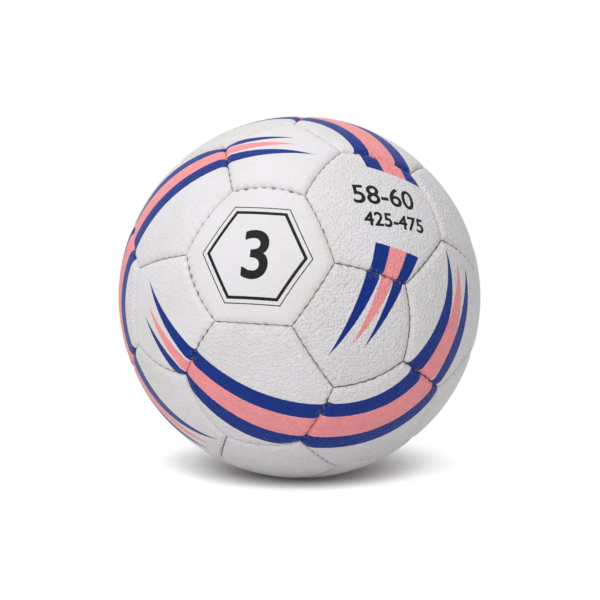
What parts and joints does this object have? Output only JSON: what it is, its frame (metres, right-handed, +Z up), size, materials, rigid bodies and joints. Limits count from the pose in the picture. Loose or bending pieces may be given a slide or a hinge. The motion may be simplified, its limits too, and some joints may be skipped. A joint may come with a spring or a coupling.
{
  "type": "handball",
  "caption": "Hand-sewn ball of turned-edge pentagon and hexagon panels over a bladder, with a striped print and a pull-out valve core.",
  "frame": {"origin": "centre of the ball", "axes": "+Z up as the ball lies on a floor in the picture; -Y towards the picture's viewer; the valve points away from the viewer, near +Y"},
  "size_m": [0.1878, 0.1878, 0.1878],
  "materials": {
    "panel_skin": "white coated synthetic leather with a fine pebble grain and printed blue and pink bands",
    "lining_cloth": "laminated cotton and polyester plies",
    "sewing_thread": "waxed polyester thread",
    "bladder_latex": "matt natural latex",
    "valve_housing_rubber": "matt moulded rubber",
    "valve_core_rubber": "smooth lubricated butyl rubber"
  },
  "bodies": {
    "ball": {"bladder": "bladder_latex", "hexagon_linings": "lining_cloth", "hexagon_panel_01": "panel_skin", "hexagon_panel_02": "panel_skin", "hexagon_panel_03": "panel_skin", "hexagon_panel_04": "panel_skin", "hexagon_panel_05": "panel_skin", "hexagon_panel_06": "panel_skin", "hexagon_panel_07": "panel_skin", "hexagon_panel_08": "panel_skin", "hexagon_panel_09": "panel_skin", "hexagon_panel_10": "panel_skin", "hexagon_panel_11": "panel_skin", "hexagon_panel_12": "panel_skin", "hexagon_panel_13": "panel_skin", "hexagon_panel_14": "panel_skin", "hexagon_panel_15": "panel_skin", "hexagon_panel_16": "panel_skin", "hexagon_panel_17": "panel_skin", "hexagon_panel_18": "panel_skin", "hexagon_panel_19": "panel_skin", "hexagon_stitching": "sewing_thread", "pentagon_linings": "lining_cloth", "pentagon_panel_01": "panel_skin", "pentagon_panel_02": "panel_skin", "pentagon_panel_03": "panel_skin", "pentagon_panel_04": "panel_skin", "pentagon_panel_05": "panel_skin", "pentagon_panel_06": "panel_skin", "pentagon_panel_07": "panel_skin", "pentagon_panel_08": "panel_skin", "pentagon_panel_09": "panel_skin", "pentagon_panel_10": "panel_skin", "pentagon_panel_11": "panel_skin", "pentagon_panel_12": "panel_skin", "pentagon_stitching": "sewing_thread", "valve_housing": "valve_housing_rubber", "valve_lining": "lining_cloth", "valve_panel": "panel_skin"},
    "valve_core": {"valve_core": "valve_core_rubber"}
  },
  "joints": [
    {"name": "valve_core_pull", "type": "slide", "parent": "ball", "child": "valve_core", "axis": [0.2231, 0.9223, -0.3156], "range_m": [0, 0.022]}
  ]
}
